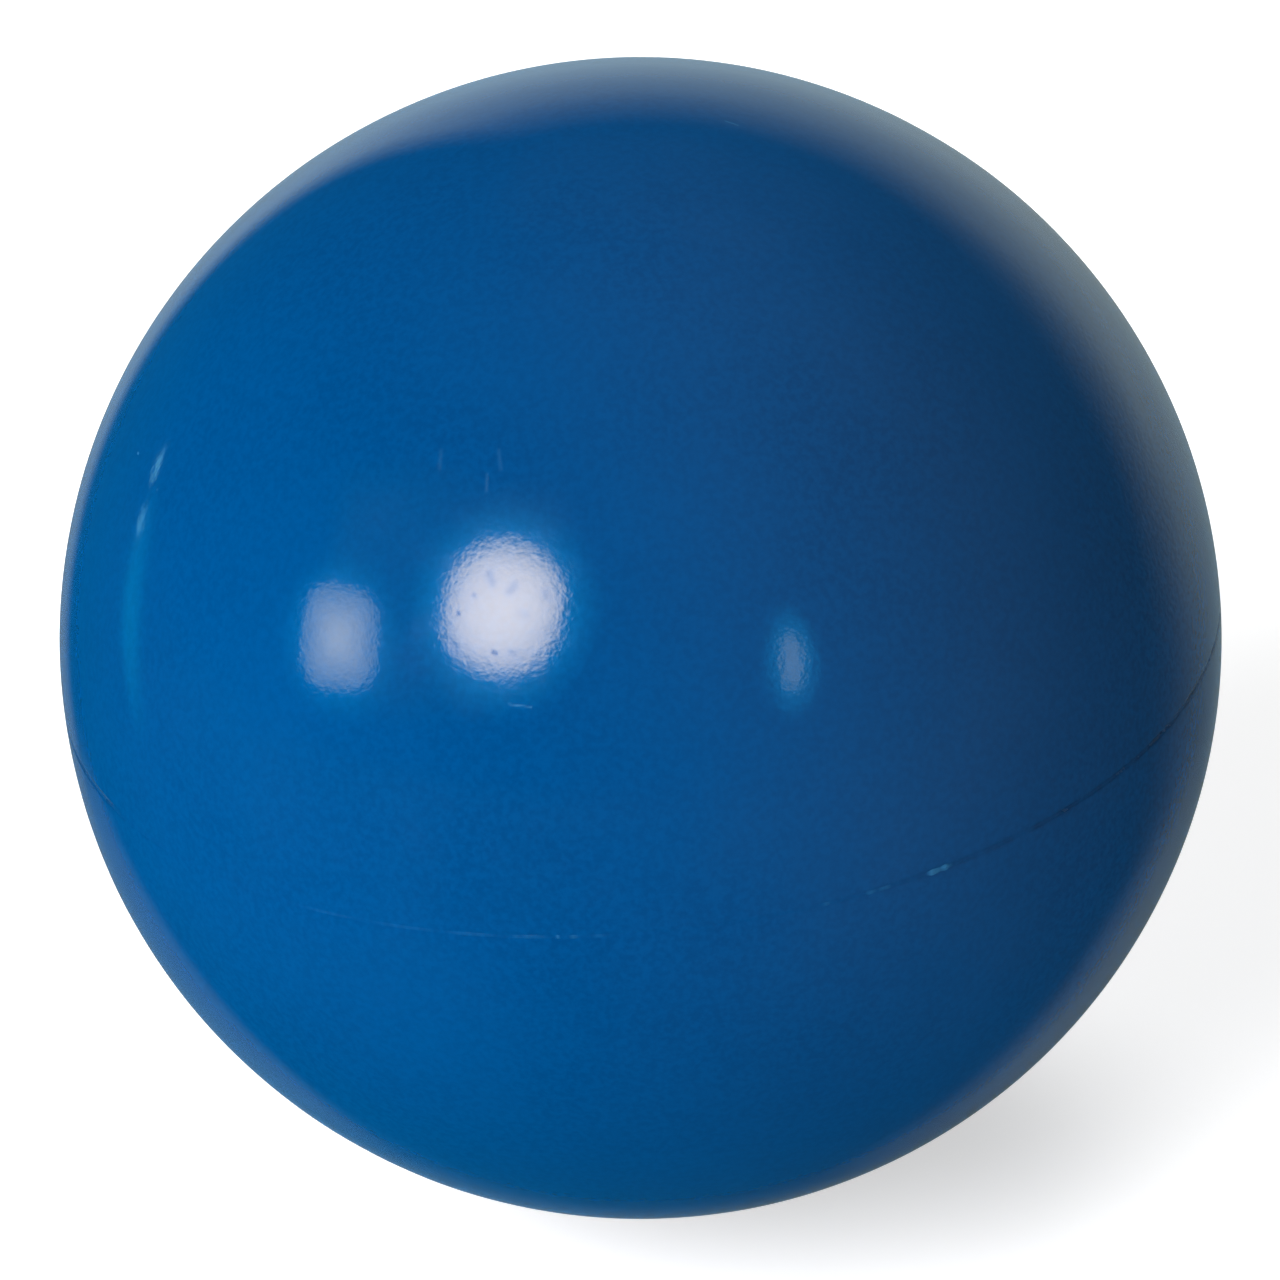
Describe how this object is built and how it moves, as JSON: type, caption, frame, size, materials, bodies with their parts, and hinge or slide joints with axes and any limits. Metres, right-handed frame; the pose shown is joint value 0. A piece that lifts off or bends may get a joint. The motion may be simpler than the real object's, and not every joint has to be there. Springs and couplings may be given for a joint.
{
  "type": "croquet ball",
  "caption": "Full-size croquet ball: a cork-and-rubber core inside a hard plastic cover moulded as two cups, with a fine seam round its middle.",
  "frame": {"origin": "centre of the ball", "axes": "+Z normal to the seam's plane, through the pole of the upper cup; X and Y lie in the seam's plane"},
  "size_m": [0.092, 0.092, 0.0922],
  "materials": {
    "cover": "hard moulded plastic, glossy, with a fine orange peel and light scuffs",
    "weld": "the cover's own plastic, fused, with a thin line of trimmed flash",
    "core": "pressed cork granules bound in rubber, matte"
  },
  "bodies": {
    "root": {"core": "core", "lower_cover": "cover", "upper_cover": "cover", "seam_weld": "weld"}
  },
  "joints": []
}
